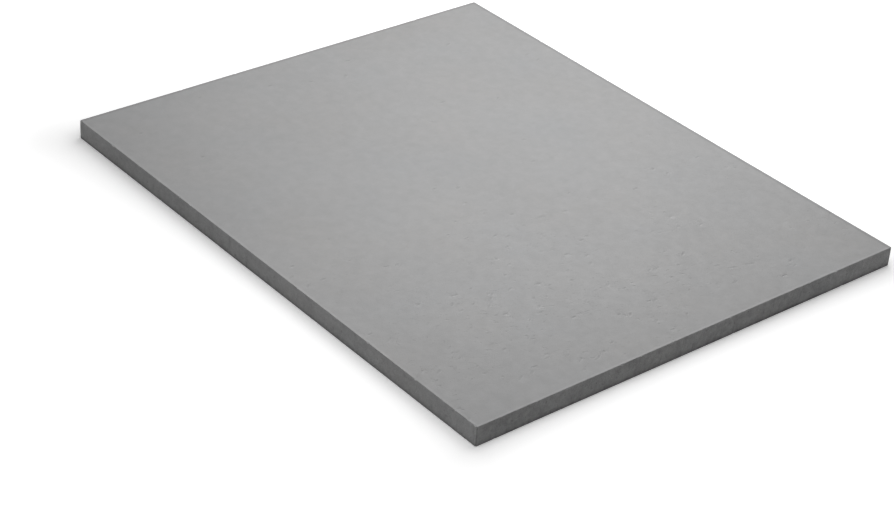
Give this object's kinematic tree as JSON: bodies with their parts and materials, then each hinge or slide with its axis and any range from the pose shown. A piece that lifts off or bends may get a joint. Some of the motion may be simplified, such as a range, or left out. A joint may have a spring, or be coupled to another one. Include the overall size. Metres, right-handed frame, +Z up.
{
  "type": "calcium silicate board",
  "caption": "Flat rectangular sheet of calcium silicate insulation board, one solid piece with smooth faces and sawn square edges.",
  "frame": {"origin": "middle of the underside, on the floor the sheet lies on", "axes": "+X along the length, +Y along the width, +Z up through the thickness"},
  "size_m": [1.22, 1, 0.04],
  "materials": {
    "calcium_silicate": "matt mineral grey, finely pored, with sawn edges"
  },
  "bodies": {
    "root": {"board": "calcium_silicate"}
  },
  "joints": []
}
